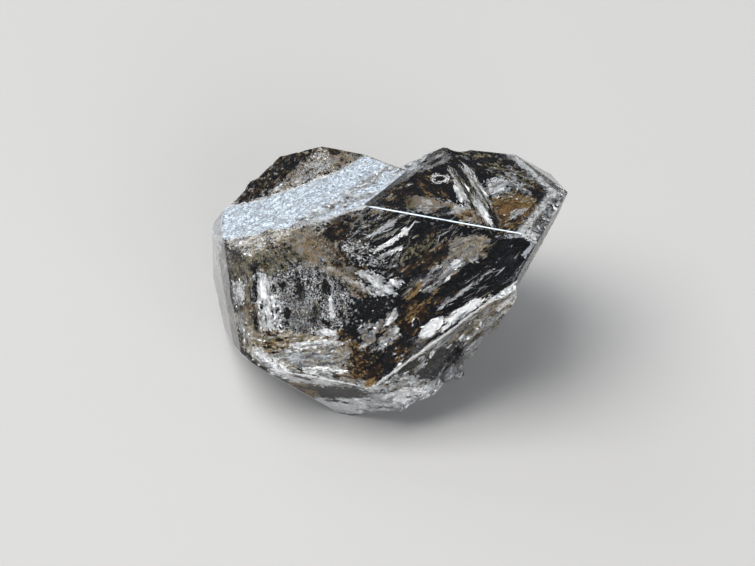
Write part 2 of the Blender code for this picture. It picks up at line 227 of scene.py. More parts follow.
VEILS = {
    "veil_cloud": (
        Veil("front", "278,262 312,256 346,274 354,302 347,332 318,338 284,332 270,300",
             (0.12, 0.6), 5600, (0.03, 0.1), 1.1, 88,
             "black 0.5, olive 0.3, beige 1, grey 1.6, pale 5, white 3"),
        Veil("front", "240,246 262,246 286,249 302,258 282,270 262,282 246,276",
             (0.1, 0.5), 2000, (0.04, 0.11), 1.3, 60,
             "black 3, brown 0.5, olive 4, beige 0.5, cream 1.2, olive 1"),
        Veil("front", "254,275 272,277 277,300 280,326 262,330 254,304",
             (0.1, 0.4), 1500, (0.05, 0.14), 2.0, 82, "black 1.2, olive 0.5, pale 1.6, white 5"),
        Veil("front", "276,225 300,222 318,228 330,246 345,262 312,262 284,254 262,246",
             (0.15, 0.9), 2200, (0.05, 0.14), 1.6, -10,
             "black 0.5, soot 0.6, olive 0.9, beige 2, cream 1.6, pale 1.6, grey 1.4"),
        Veil("front", "302,240 318,238 324,252 316,264 304,260",
             (0.1, 0.5), 420, (0.05, 0.13), 1.5, 70, "brown 1, gold 3, beige 2"),
    ),
    "veil_foot": (
        Veil("front", "246,330 290,334 345,341 352,365 345,378 300,373 262,362",
             (0.1, 0.8), 3600, (0.05, 0.18), 2.4, -8,
             "soot 0.8, brown 0.8, gold 1, beige 2, cream 3, white 1.4, grey 0.8, olive 1"),
        Veil("front", "243,350 262,350 280,362 296,378 268,370",
             (0.04, 0.3), 1000, (0.05, 0.15), 1.6, 30, "soot 0.6, beige 0.8, pale 1.5, white 6"),
        Veil("front", "335,350 352,341 372,354 380,372 368,385 350,381 338,366",
             (0.2, 0.9), 1700, (0.05, 0.15), 1.8, 35,
             "black 1.6, brown 2, gold 3, olive 0.6, pale 0.3, brown 2, soot 1.5"),
        Veil("front", "370,352 400,337 414,344 396,366 375,385 364,378",
             (0.2, 0.9), 1700, (0.05, 0.16), 2.4, -35, "black 5, soot 3, brown 2.4, gold 0.6, pale 0.15"),
        Veil("front", "322,333 345,331 352,338 332,350 312,348",
             (0.1, 0.5), 700, (0.05, 0.14), 2.0, -25, "black 1.5, brown 2, gold 1, pale 1, white 0.6"),
        Veil("front", "360,325 400,322 398,340 384,352 362,350",
             (0.2, 0.9), 1300, (0.05, 0.15), 2.2, -32,
             "black 0.8, soot 0.8, beige 2, grey 3, pale 1.6, white 0.4"),
    ),
    "veil_middle": (
        Veil("front", "354,298 372,287 396,291 390,306 376,323 362,327 350,313",
             (0.25, 0.9), 1700, (0.07, 0.2), 1.5, -30,
             "black 5, soot 1, white 0.2, grey 0.8, slate 2, black 4"),
        Veil("front", "384,322 405,305 430,296 456,283 442,304 428,322 412,336 398,331",
             (0.2, 0.8), 1900, (0.06, 0.18), 2.4, -33, "black 6, soot 3, brown 2.4, gold 1.0"),
        Veil("front", "402,246 418,238 436,232 434,243 414,260 402,268",
             (0.2, 0.7), 1200, (0.06, 0.16), 2.8, -38, "black 3, soot 2, olive 3.4, black 1.5"),
        Veil("front", "418,284 430,272 456,260 462,266 444,280 428,292",
             (0.1, 0.5), 1300, (0.05, 0.14), 3.2, -38,
             "soot 1, beige 1.2, pale 1.6, white 0.8, grey 3, slate 1.4"),
        Veil("front", "422,262 434,250 446,246 444,254 430,266 396,278 404,268",
             (0.1, 0.5), 1100, (0.05, 0.14), 3.4, -35, "black 3.5, soot 2, brown 1.6, beige 0.5"),
        Veil("front", "440,246 466,236 488,238 486,254 464,262 446,262",
             (0.4, 1.4), 1100, (0.06, 0.18), 2.4, -30,
             "slate 1, olive 0.8, beige 2.4, cream 1.2, pale 0.8, grey 2"),
        Veil("front", "420,335 450,316 500,288 512,286 470,322 432,346",
             (0.1, 0.9), 1100, (0.04, 0.09), 12.0, -33,
             "black 1, soot 1.4, olive 0.6, beige 2, grey 3, pale 1"),
        Veil("front", "430,226 480,236 500,246 470,262 436,284 412,300 404,296",
             (0.5, 1.8), 600, (0.04, 0.09), 14.0, -33,
             "black 3, soot 2, olive 1, beige 0.6, pale 0.5, grey 1, slate 2"),
        # These two deep veils of black and slate flakes are painted shade behind the clear places
        Veil("front", "360,214 470,228 532,242 508,280 440,318 400,330 356,300",
             (0.8, 1.5), 1500, (0.05, 0.14), 4.0, -33, "black 4, slate 2, grey 0.3, soot 2, black 4"),
        Veil("front", "492,262 520,266 512,286 480,296 450,312 460,292",
             (0.4, 1.2), 420, (0.04, 0.1), 12.0, -32, "black 4, slate 2, pale 0.3, grey 0.6, black 4"),
    ),
    "veil_channels": (
        Veil("front", "352,246 372,222 398,212 412,220 410,240 395,254 370,262",
             (0.1, 0.6), 1900, (0.03, 0.08), 9.0, -29,
             "black 4, soot 1, grey 0.6, white 1.1, olive 1, black 4"),
        Veil("front", "346,215 372,208 398,211 380,224 356,240 344,236",
             (0.15, 0.8), 1700, (0.04, 0.12), 2.0, -30,
             "black 1.6, soot 1, olive 0.6, beige 1, pale 0.8, grey 2, slate 1.6"),
        Veil("front", "316,232 334,222 350,216 347,240 334,250 322,246",
             (0.1, 0.5), 1300, (0.04, 0.12), 1.5, -40,
             "black 2, soot 3, brown 3.4, gold 0.5, olive 0.5, pale 0.2"),
        Veil("front", "340,243 362,242 386,258 378,266 352,260",
             (0.08, 0.3), 900, (0.04, 0.1), 1.6, 20, "black 2, grey 1, white 2.4, pale 1.6, black 1.5"),
        Veil("front", "318,258 345,252 366,266 368,282 352,280 330,270",
             (0.2, 0.8), 1500, (0.05, 0.13), 1.6, 35,
             "black 2, soot 2, brown 2, olive 1.6, beige 0.6, grey 0.7"),
        Veil("front", "384,254 410,246 412,262 396,276 376,274",
             (0.2, 0.8), 1000, (0.04, 0.12), 1.6, -30, "black 2.5, soot 1, grey 2.6, pale 1, white 0.7"),
        Veil("front", "356,275 368,271 386,284 402,279 394,292 374,294",
             (0.06, 0.3), 1000, (0.05, 0.14), 2.2, 25, "black 0.6, grey 1.5, pale 2.6, white 3"),
        Veil("front", "300,262 330,268 352,282 372,292 356,296 346,276 318,268",
             (0.15, 0.6), 900, (0.05, 0.14), 1.8, 25,
             "black 0.8, brown 0.8, olive 0.8, beige 3, grey 1.4, pale 1.6, white 0.3"),
        # A deep veil of black flakes: painted shade behind a clear place
        Veil("front", "398,212 440,216 446,228 420,240 408,232",
             (0.5, 1.6), 500, (0.05, 0.14), 3.0, -30, "black 4, soot 2, pale 0.3, grey 0.6, black 2"),
    ),
    "veil_left": (
        Veil("left_prism", "228,240 247,258 240,263 231,254",
             (0.1, 0.5), 500, (0.04, 0.12), 1.6, 45, "black 3, soot 3, brown 1.5"),
        Veil("left_prism", "231,256 246,259 248,276 236,282 230,270",
             (0.1, 0.5), 700, (0.04, 0.11), 1.4, 70,
             "black 0.6, soot 0.6, gold 1, olive 4, cream 2, olive 1"),
        Veil("left_prism", "233,281 243,285 242,300 236,306",
             (0.05, 0.2), 500, (0.05, 0.14), 1.4, 80, "pale 1, white 6"),
        Veil("left_prism", "244,280 254,284 254,304 244,306",
             (0.1, 0.5), 420, (0.04, 0.12), 1.5, 85, "black 1, olive 2, beige 2, pale 1"),
        Veil("left_prism", "244,304 256,304 256,320 246,318",
             (0.1, 0.4), 360, (0.04, 0.12), 1.5, 85, "soot 1, brown 2.4, gold 1.6, beige 0.5"),
        Veil("left_prism", "236,308 254,320 262,352 250,354 242,342",
             (0.1, 0.6), 900, (0.05, 0.16), 2.0, 80, "olive 0.5, beige 2, grey 1, cream 2.6, white 0.8"),
        Veil("left_back", "213,238 218,242 222,300 226,334 220,320 213,280",
             (0.04, 0.3), 1200, (0.05, 0.14), 3.0, 86, "black 3, slate 4, grey 1.2, pale 0.3"),
        Veil("left_prism", "228,250 250,262 254,340 244,346 234,300",
             (0.3, 0.9), 1200, (0.05, 0.14), 2.0, 86, "black 3, soot 2, brown 1, pale 1, white 2"),
        Veil("left_side", "222,240 228,244 240,320 246,350 240,344 228,290",
             (0.06, 0.4), 2200, (0.05, 0.16), 2.6, 80,
             "black 3, soot 2, brown 1, olive 0.8, grey 1.4, pale 0.4"),
        Veil("corner", "225,240 250,256 300,227 270,230",
             (0.05, 0.4), 1500, (0.05, 0.14), 1.8, -20,
             "soot 0.8, olive 1, beige 2, cream 2.4, white 2, beige 1"),
        Veil("corner", "232,238 275,228 300,224 262,233",
             (0.05, 0.3), 560, (0.04, 0.12), 2.4, -15, "black 1, soot 1.5, brown 1, olive 2"),
    ),
    "veil_tip": (
        Veil("top", "416,168 436,162 452,172 458,190 440,200 420,192",
             (0.3, 0.9), 2200, (0.05, 0.15), 1.6, 30, "black 5, soot 4, brown 2.6, gold 0.3"),
        Veil("top", "376,206 392,190 408,181 416,194 404,207",
             (0.1, 0.6), 1400, (0.05, 0.13), 1.6, -25,
             "black 3, soot 2.6, brown 2.6, gold 0.9, olive 0.6, pale 0.5"),
        Veil("top", "408,197 434,200 455,206 448,214 425,211 404,206",
             (0.2, 0.9), 1100, (0.05, 0.16), 2.2, 15, "olive 1, beige 3, grey 3, pale 1.6, white 0.4"),
        Veil("top", "450,170 466,166 482,186 498,224 486,225 464,202",
             (0.1, 0.7), 1500, (0.03, 0.08), 9.0, 60,
             "black 3, soot 2, olive 1, grey 1.2, pale 1.4, white 2"),
        Veil("top", "484,184 500,176 514,182 508,194 490,197",
             (0.2, 0.8), 900, (0.04, 0.12), 1.5, -10, "black 0.4, grey 1.2, pale 2.6, white 2.6"),
        Veil("top", "488,202 512,193 532,198 540,212 526,226 500,228 490,216",
             (0.2, 0.9), 2600, (0.05, 0.15), 1.8, -12,
             "soot 1.6, brown 2, gold 4, olive 1, beige 1.4, pale 0.8, gold 1, brown 1"),
        # Black and soot flakes here are painted shade
        Veil("top", "534,182 548,182 556,192 547,206 535,205",
             (0.2, 0.8), 800, (0.05, 0.15), 1.4, 30, "black 4, soot 3, brown 1, gold 0.4"),
        Veil("top", "442,152 480,150 515,158 524,174 480,170 450,162",
             (0.3, 1.2), 1600, (0.06, 0.18), 2.4, 12,
             "black 4, slate 1, olive 1.6, beige 0.4, grey 0.8, soot 2.4, black 3"),
        Veil("top", "450,206 480,210 488,224 462,218",
             (0.2, 0.7), 800, (0.05, 0.14), 2.0, 20, "brown 0.5, gold 1, beige 3, pale 2, white 0.7"),
        Veil("top", "500,164 520,172 536,184 530,198 514,190",
             (0.3, 1.0), 500, (0.05, 0.15), 2.0, 30, "soot 2, olive 1, grey 2, pale 1"),
    ),
    "veil_lobe": (
        Veil("lobe_left", "262,168 300,148 318,147 300,170 262,194 236,204 244,188",
             (0.05, 0.6), 2600, (0.05, 0.16), 1.8, -35,
             "black 4, soot 3, beige 0.6, grey 0.6, olive 1, brown 1, soot 3, black 1"),
        Veil("lobe_front", "318,148 332,158 336,170 300,186 264,195 296,172",
             (0.08, 0.6), 2200, (0.04, 0.13), 1.6, -30,
             "soot 0.5, brown 0.5, beige 3, grey 1.4, pale 2.6, white 1.6"),
        Veil("lobe_right", "322,148 345,154 366,164 350,173 334,170",
             (0.1, 0.7), 1100, (0.05, 0.16), 1.8, 20, "soot 0.6, gold 0.5, beige 3, cream 1, grey 1.6"),
    ),
    "veil_under": (
        Veil("lower_front", "262,366 300,377 345,381 372,387 376,391 340,382 300,379",
             (0.04, 0.4), 1400, (0.05, 0.18), 3.0, 14, "soot 1.6, gold 0.5, beige 1, pale 2, white 8"),
        Veil("lower_front", "290,381 318,385 322,394 312,400 300,394",
             (0.1, 0.6), 900, (0.05, 0.16), 1.8, 10, "soot 0.6, brown 2, gold 4"),
        Veil("lower_front", "314,386 350,387 374,394 350,398 318,395",
             (0.1, 0.6), 1500, (0.05, 0.16), 2.2, 8, "black 6, soot 2, brown 1.4"),
        Veil("lower_front", "310,400 340,400 368,400 396,408 366,415 340,414",
             (0.03, 0.4), 2400, (0.05, 0.18), 2.6, 12, "soot 0.4, beige 1, grey 0.6, pale 3, white 14"),
        Veil("lower_front", "360,396 378,392 396,400 398,407 376,403",
             (0.05, 0.3), 500, (0.05, 0.16), 2.6, 15, "soot 0.4, grey 3, pale 3, white 0.5"),
    ),
    "veil_right": (
        Veil("lower_right", "380,386 400,374 426,378 440,386 416,398 396,402 378,394",
             (0.05, 0.5), 1700, (0.05, 0.16), 2.0, -14,
             "black 1.2, soot 0.6, beige 1.6, grey 0.6, pale 3, white 9"),
        Veil("lower_right", "392,378 412,360 432,350 428,362 414,376",
             (0.1, 0.6), 900, (0.05, 0.15), 2.6, -40,
             "black 4, soot 2, brown 1, olive 0.6, pale 1, white 1.4"),
        Veil("lower_right", "420,372 430,358 442,352 444,364 434,378",
             (0.1, 0.6), 900, (0.06, 0.18), 1.8, -40, "black 8, soot 1.5, grey 0.3"),
        Veil("lower_right", "440,352 448,342 460,340 462,354 452,366",
             (0.1, 0.6), 800, (0.06, 0.18), 1.8, -40, "black 7, soot 1.5, grey 0.5"),
        Veil("lower_right", "452,342 470,322 500,300 516,300 500,322 470,346",
             (0.05, 0.6), 1500, (0.05, 0.15), 2.4, -42,
             "black 0.8, soot 0.6, gold 0.4, olive 0.6, beige 3, grey 1, pale 2.4, white 0.8"),
        Veil("lower_right", "436,352 460,330 480,312 470,326 446,350",
             (0.1, 0.5), 500, (0.03, 0.08), 9.0, -42, "black 2, olive 1, beige 1, pale 1"),
    ),
    "veil_streaks": (
        # Dark streaks beside and under the bright cracks are painted shadows
        streak("front", "419,338 423,328 432,321 443,318 441,326 431,335", -38, BRIGHT, 700),
        streak("front", "444,322 455,312 470,303 481,297 481,302 470,310 456,320", -35, BRIGHT, 600),
        streak("front", "416,340 421,325 432,317 446,314 470,300 482,295 445,317 424,330",
               -36, DARK, 500, 0.3),
        streak("front", "386,325 388,316 395,310 397,316 391,323", -50, BRIGHT, 260),
        streak("front", "392,333 394,328 398,328 397,333", -40, BRIGHT, 90),
        streak("front", "318,331 326,329 336,332 334,336 322,335", 8, BRIGHT, 200),
        streak("front", "374,251 386,244 400,235 399,237 386,246", -31, BRIGHT, 120),
        streak("front", "378,258 388,252 403,246 402,248 388,255", -31, BRIGHT, 120),
        streak("front", "366,238 384,226 396,218 394,223 380,232", -31, DULL, 200),
        streak("front", "401,234 404,228 408,230 406,235", -30, BRIGHT, 80),
        streak("front", "451,267 454,261 459,260 461,265 456,268", -30, BRIGHT, 130),
        streak("front", "420,288 440,273 456,266 440,277 424,290", -36, DULL, 260),
        streak("front", "331,318 329,304 331,293 334,304 334,316", 88, BRIGHT, 120),
        streak("front", "284,319 286,308 289,308 291,318", 88, DARK, 90),
        streak("front", "296,300 299,284 302,284 300,300", 88, DARK, 90),
        streak("front", "312,322 313,306 316,306 316,322", 88, DARK, 90),
        streak("front", "322,290 326,280 330,286 326,296", 80, DARK, 90),
        streak("front", "407,300 411,291 420,283 421,287 414,296", -45, EMBER, 200),
        streak("front", "365,386 368,380 375,378 376,382 370,386", -30, EMBER, 120),
        streak("front", "354,300 362,290 372,296 380,310 372,322 360,316", -30, DARK, 200, 0.5),
        streak("front", "253,262 256,262 257,330 254,330", 90, DARK, 260),
        streak("front", "258,276 266,276 268,298 262,300", 85, BRIGHT, 300),
        streak("front", "246,352 262,353 274,362 276,368 256,362", 30, BRIGHT, 500),
        streak("front", "290,344 320,340 340,342 320,346 296,350", -6, BRIGHT, 260),
        streak("front", "284,356 310,352 336,358 310,360 290,362", -4, DULL, 260),
        streak("front", "300,368 330,366 352,372 330,374 306,374", 4, BRIGHT, 260),
        streak("front", "378,386 398,367 428,347 430,349 402,370 382,388", -38, BRIGHT, 400, 0.06),
        streak("front", "430,348 462,328 500,300 501,301 464,330 432,349", -36, BRIGHT, 220, 0.06),
        streak("front", "440,330 470,308 498,292 470,311 442,332", -35, BRIGHT, 160, 0.1),
        streak("front", "446,338 474,318 498,303 474,321 448,340", -35, DARK, 200, 0.1),
        streak("front", "404,318 420,300 440,288 424,306 410,322", -42, EMBER, 200, 0.2),
        streak("front", "436,306 470,284 500,262 472,286 440,310", -34, DULL, 260, 0.3),
        streak("top", "477,205 480,202 492,220 492,224 487,221", 56, BRIGHT, 300),
        streak("top", "454,187 457,187 463,201 460,202", 66, BRIGHT, 160),
        streak("top", "508,218 512,211 525,208 524,212 514,218", -30, DULL, 130),
        streak("top", "488,208 492,209 498,222 497,226 491,220", 60, DARK, 160),
        streak("top", "434,213 440,209 450,207 450,212", -15, DARK, 130),
        streak("top", "404,170 430,160 444,152 452,156 436,166 410,176", -30, DULL, 600, 0.3),
        streak("top", "488,186 496,180 508,182 504,190 492,194", -20, BRIGHT, 260),
        streak("lower_front", "316,390 332,386 352,387 370,392 350,396 330,396", 6, DARK, 900, 0.06),
        streak("lower_front", "290,384 304,383 318,388 320,395 306,396 294,392", 10, EMBER, 500, 0.06),
        streak("front", "414,326 415,320 418,320 418,326", -60, DARK, 160, 0.06),
        streak("lower_right", "444,352 450,345 463,332 464,335 452,348", -48, BRIGHT, 200, 0.06),
        streak("lower_right", "419,369 425,360 433,349 435,351 427,363", -52, BRIGHT, 200, 0.06),
        streak("lower_right", "441,360 444,348 456,341 459,348 450,360", -45, DARK, 600, 0.08),
        streak("lower_right", "420,376 428,364 438,358 440,366 432,378", -45, DARK, 600, 0.08),
        streak("lower_right", "466,350 480,330 504,306 512,306 496,324 476,350", -45, DULL, 500, 0.1),
        streak("lower_right", "384,396 404,388 430,384 424,392 400,402", -14, BRIGHT, 600, 0.08),
        streak("lower_front", "318,403 345,404 384,404 420,408 380,414 345,413", 6, BRIGHT, 900),
        streak("lower_front", "268,371 300,380 340,384 372,392 340,387 300,384", 12, BRIGHT, 500),
    ),
}

# Pools and layers: the face above, outline in the photograph, depth and thickness in millimetres, and tone
Pool = namedtuple("Pool", "face outline depth thick tone")
PETROLEUM = (
    Pool("front", "406,300 411,290 419,282 422,286 416,295 409,301", 0.16, 0.16, "gold"),
    Pool("front", "398,322 408,312 424,306 432,312 424,326 410,334 400,332", 0.3, 0.3, "brown"),
    Pool("front", "386,321 398,313 404,316 394,324", 0.3, 0.2, "brown"),
    Pool("front", "342,353 354,346 366,356 370,368 358,376 346,368", 0.4, 0.22, "brown"),
    Pool("front", "364,380 372,366 384,362 378,376 370,385", 0.3, 0.3, "brown"),
    Pool("front", "364,386 367,379 374,377 376,383 370,387", 0.12, 0.14, "gold"),
    Pool("top", "424,172 438,166 450,174 452,188 440,196 428,190", 0.45, 0.3, "soot"),
    Pool("top", "494,204 510,198 528,204 532,213 518,221 500,220", 0.3, 0.2, "gold"),
    Pool("lower_front", "294,383 306,382 318,387 316,396 304,394", 0.2, 0.2, "gold"),
)
MILK = (
    Pool("front", "280,232 300,226 322,232 340,250 330,260 300,256", 0.1, 0.1, "beige"),
    Pool("front", "318,264 345,268 372,286 370,296 345,284", 0.1, 0.08, "beige"),
    Pool("front", "446,256 452,244 470,236 488,238 484,250 466,260", 0.25, 0.15, "beige"),
    Pool("front", "288,306 300,296 318,300 322,322 300,330 288,322", 0.1, 0.08, "grey"),
    Pool("front", "296,342 330,340 352,350 340,368 300,368 270,356", 0.1, 0.08, "pale"),
    Pool("front", "420,284 444,268 460,264 444,280 426,292", 0.1, 0.08, "grey"),
    Pool("lower_right", "460,340 472,324 500,302 506,310 480,336 468,346", 0.1, 0.1, "beige"),
    Pool("lower_right", "384,390 404,380 430,382 420,394 398,400", 0.1, 0.1, "beige"),
    Pool("top", "410,196 430,198 446,206 436,210 412,206", 0.15, 0.1, "beige"),
)

# Deep dark layers behind the clear places: painted shade, standing for the darkness that the clear quartz
# shows there
PAINTED_SHADE_POOLS = (
    Pool("front", "404,218 470,230 536,243 512,284 470,306 430,330 400,330 392,270", 2.2, 0.2, "black"),
    Pool("front", "330,236 392,214 400,300 380,345 350,330 340,280", 1.6, 0.2, "black"),
    Pool("front", "290,240 330,240 345,330 340,372 280,350 262,300", 1.4, 0.2, "soot"),
    Pool("top", "386,200 420,172 470,160 530,180 540,200 500,226 440,214", 1.5, 0.2, "black"),
    Pool("lower_right", "414,372 440,350 470,335 462,356 440,376 420,384", 0.8, 0.15, "black"),
    Pool("lower_front", "300,390 340,388 372,394 360,400 320,400", 0.5, 0.1, "black"),
)

# Bubbles with a bright rim, a painted reflection of white flakes: the face, the middle, the half widths
# across and down, and depth
RINGS = (
    ("top", (440, 178.5), (9, 5), 0.08),
    ("top", (440, 178.5), (6.5, 3.2), 0.1),
    ("front", (416, 322.5), (3.6, 4.4), 0.08),
)

# Slim flat channels: the face above, both ends in the photograph, width, depth and thickness in millimetres
Channel = namedtuple("Channel", "face start end width depth thick")
CHANNELS = (
    Channel("front", (360, 247), (397, 222), 0.22, 0.3, 0.1),
    Channel("front", (368, 252), (398, 235), 0.12, 0.25, 0.06),
    Channel("front", (378, 259), (402, 246), 0.16, 0.25, 0.08),
    Channel("front", (372, 240), (392, 228), 0.18, 0.35, 0.1),
    Channel("front", (405, 287), (470, 245), 0.5, 0.6, 0.14),
    Channel("front", (420, 330), (482, 299), 0.5, 0.7, 0.16),
    Channel("front", (440, 300), (520, 252), 0.6, 1.2, 0.16),
    Channel("top", (456, 172), (486, 226), 0.3, 0.5, 0.1),
    Channel("top", (462, 168), (498, 214), 0.25, 0.7, 0.1),
)

# Faces out of the photograph's sight, under which healed fractures lie
FAR_FACES = (
    "top_back", "under_back", "rear_left", "rear_back",
    "notch_back", "right_side", "under_right", "lower_left",
)


class StageSettings(bpy.types.PropertyGroup):
    """The floor, the lamps and the air around the stone."""

    floor_color: FloatVectorProperty(
        name="Floor colour", description="Colour of the plain floor", subtype="COLOR",
        default=(0.38, 0.376, 0.37)
    )
    key_power: FloatProperty(
        name="Key lamp", description="Power of the large soft lamp", unit="POWER", default=4.6
    )
    fill_power: FloatProperty(
        name="Fill lamp", description="Power of the soft lamp on the near side", unit="POWER", default=2.4
    )
    rim_power: FloatProperty(
        name="Rim lamp", description="Power of the lamp behind the stone", unit="POWER", default=0.9
    )
    air_strength: FloatProperty(
        name="Air light", description="Brightness of the surroundings", default=0.26
    )


class CrystalSettings(bpy.types.PropertyGroup):
    """How clear the quartz is and how rough its frosted faces are."""

    clear_color: FloatVectorProperty(
        name="Clear tint", description="Tint that light takes on in the quartz", subtype="COLOR",
        default=(0.6, 0.64, 0.7)
    )
    smokiness: FloatProperty(
        name="Smokiness", description="How fast the quartz absorbs light, for each metre", default=70.0
    )
    frost_color: FloatVectorProperty(
        name="Frost colour", description="Colour of the cold frosted faces", subtype="COLOR",
        default=(0.84, 0.92, 1.0)
    )
    warm_color: FloatVectorProperty(
        name="Warm frost colour", description="Colour of the frost where it is stained", subtype="COLOR",
        default=(0.86, 0.74, 0.58)
    )
    grain: FloatProperty(
        name="Grain", description="Longest edge of the fine skin", unit="LENGTH", default=0.21 * MM
    )
    edge_wear: FloatProperty(
        name="Edge wear", description="Width of the worn edges", unit="LENGTH", default=0.04 * MM
    )


class VeilSettings(bpy.types.PropertyGroup):
    """The flakes that the cloudy veils are made of."""

    seed: IntProperty(name="Seed", description="Start of the random draws for the veils", default=7)
    thinness: FloatProperty(
        name="Thinness", description="A flake's thickness as a share of its width", default=0.16
    )
    tilt: FloatProperty(
        name="Tilt", description="How far flakes lean out of their veil", subtype="ANGLE",
        default=math.radians(26)
    )


def crystal_axes():
    """The long axis, the way to the level top and the side that turns lead to, as unit vectors."""
    flat = Vector((math.cos(AXIS_HEADING), math.sin(AXIS_HEADING), 0))
    up = Vector((0, 0, 1))
    long_axis = flat * math.cos(AXIS_RISE) + up * math.sin(AXIS_RISE)
    top = up * math.cos(AXIS_RISE) - flat * math.sin(AXIS_RISE)
    return long_axis, top, long_axis.cross(top)


def face_normal(face):
    """The outward normal of a crystal face."""
    long_axis, top, side = crystal_axes()
    around = top * math.cos(math.radians(face.turn)) + side * math.sin(math.radians(face.turn))
    return around * math.cos(math.radians(face.tilt)) + long_axis * math.sin(math.radians(face.tilt))


NORMALS = {name: face_normal(face) for name, face in FACES.items()}


def depth_under(name, point):
    """How far a point lies under the plane of a face, in metres."""
    return FACES[name].distance * MM - (point - HEART).dot(NORMALS[name])


def eye():
    """Where the camera stands, the way it looks and its up direction."""
    look = Vector((0, math.cos(CAMERA_RISE), -math.sin(CAMERA_RISE)))
    up = Vector((0, math.sin(CAMERA_RISE), math.cos(CAMERA_RISE)))
    return HEART + Vector((CAMERA_ASIDE, 0, 0)) - look * CAMERA_DISTANCE, look, up


def sight(across, down):
    """The line of sight through a pixel of the photograph, as a start and a unit direction."""
    start, look, up = eye()
    right = Vector((1, 0, 0))
    way = look * CAMERA_DISTANCE
    way += right * (across - PHOTO_WIDTH / 2) * PIXEL - up * (down - PHOTO_HEIGHT / 2) * PIXEL
    return start, way.normalized()


def seen_under(name, across, down, depth):
    """The point at a depth in millimetres under a face that is seen, bent by the quartz, at a pixel."""
    start, way = sight(across, down)
    normal = NORMALS[name]
    hit = start + way * (depth_under(name, start) / way.dot(normal))
    slant = -way.dot(normal)
    bend = 1 / QUARTZ_IOR
    inner = way * bend + normal * (bend * slant - math.sqrt(1 - bend * bend * (1 - slant * slant)))
    return hit + inner * (depth * MM / -inner.dot(normal))


def stone_shape():
    """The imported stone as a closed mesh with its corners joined."""
    shape = bmesh.new()
    shape.from_mesh(STONE.data)
    bmesh.ops.remove_doubles(shape, verts=shape.verts, dist=1e-7)
    shape.normal_update()
    return shape


def make_inside_test():
    """A function that says whether a point is in the stone, at least a margin under its skin."""
    shape = stone_shape()
    tree = BVHTree.FromBMesh(shape)
    shape.free()

    def is_inside(point, margin):
        place, normal, _index, distance = tree.find_nearest(point)
        if distance < margin or (point - place).dot(normal) > 0:
            return False
        for way in PROBES:
            place, normal, _index, _distance = tree.ray_cast(point, way)
            if place is None or normal.dot(way) < 0:
                return False
        return True

    return is_inside


IS_INSIDE = make_inside_test()


def make_camera():
    """The camera that stands where the photograph was taken from."""
    camera = bpy.data.objects.new("camera", bpy.data.cameras.new("camera"))
    bpy.context.scene.collection.objects.link(camera)
    camera.location = eye()[0]
    camera.rotation_euler = (math.pi / 2 - CAMERA_RISE, 0, 0)
    camera.data.sensor_width = SENSOR
    camera.data.lens = SENSOR * CAMERA_DISTANCE / (PHOTO_WIDTH * PIXEL)
    camera.data.clip_start = NEAREST_SEEN
    camera.data.clip_end = FARTHEST_SEEN
    bpy.context.scene.camera = camera


def add_lamp(name, place, size, power, color):
    """A soft square lamp that faces the stone."""
    lamp = bpy.data.lights.new(name, "AREA")
    lamp.shape = "SQUARE"
    lamp.size = size
    lamp.energy = power
    lamp.color = color
    holder = bpy.data.objects.new(name, lamp)
    bpy.context.scene.collection.objects.link(holder)
    holder.location = place
    holder.rotation_euler = (HEART - Vector(place)).to_track_quat("-Z", "Y").to_euler()


